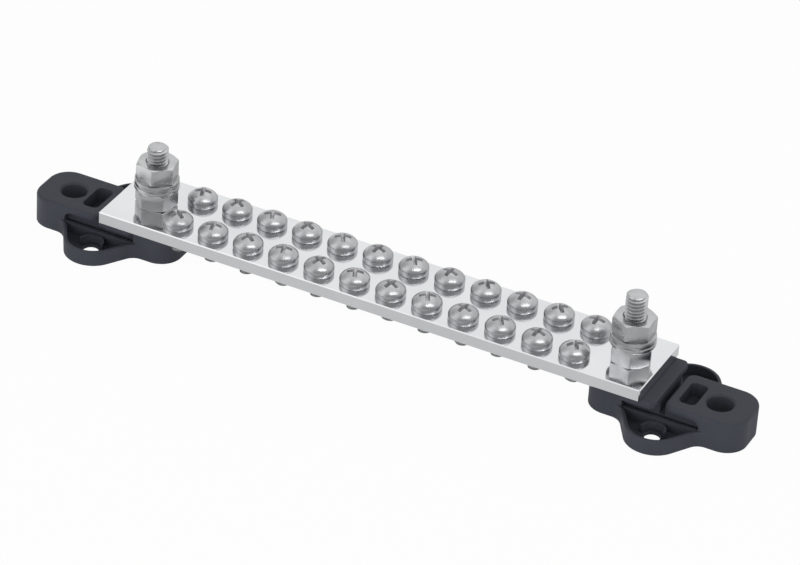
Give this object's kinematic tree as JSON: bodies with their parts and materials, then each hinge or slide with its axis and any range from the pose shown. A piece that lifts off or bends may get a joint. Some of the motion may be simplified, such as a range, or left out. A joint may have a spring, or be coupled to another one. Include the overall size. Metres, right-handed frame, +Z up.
{
  "type": "bus bar",
  "caption": "Flat tinned bus bar with two rows of terminal screws, a bolted stud at each end and a moulded foot under each end.",
  "frame": {"origin": "centre of the part's outline, on the plane that the feet stand on", "axes": "+X along the bar towards the right foot, +Y across it towards the back row, +Z up along the studs"},
  "size_m": [0.2056, 0.038, 0.0325],
  "materials": {
    "bar_tin": "bright tin plate on brass",
    "foot_plastic": "charcoal moulded plastic with a fine grain",
    "stud_steel": "bright plated steel",
    "nut_steel": "bright plated steel",
    "washer_steel": "plated spring steel",
    "screw_steel": "bright plated steel"
  },
  "bodies": {
    "root": {"bus_bar": "bar_tin", "left_foot": "foot_plastic", "right_foot": "foot_plastic", "left_stud": "stud_steel", "left_lower_nut": "nut_steel", "left_flat_washer": "washer_steel", "left_spring_washer": "washer_steel", "left_top_nut": "nut_steel", "right_stud": "stud_steel", "right_lower_nut": "nut_steel", "right_flat_washer": "washer_steel", "right_spring_washer": "washer_steel", "right_top_nut": "nut_steel", "front_screw_01": "screw_steel", "front_screw_02": "screw_steel", "front_screw_03": "screw_steel", "front_screw_04": "screw_steel", "front_screw_05": "screw_steel", "front_screw_06": "screw_steel", "front_screw_07": "screw_steel", "front_screw_08": "screw_steel", "front_screw_09": "screw_steel", "front_screw_10": "screw_steel", "front_screw_11": "screw_steel", "front_screw_12": "screw_steel", "back_screw_01": "screw_steel", "back_screw_02": "screw_steel", "back_screw_03": "screw_steel", "back_screw_04": "screw_steel", "back_screw_05": "screw_steel", "back_screw_06": "screw_steel", "back_screw_07": "screw_steel", "back_screw_08": "screw_steel", "back_screw_09": "screw_steel", "back_screw_10": "screw_steel", "back_screw_11": "screw_steel", "back_screw_12": "screw_steel"}
  },
  "joints": []
}
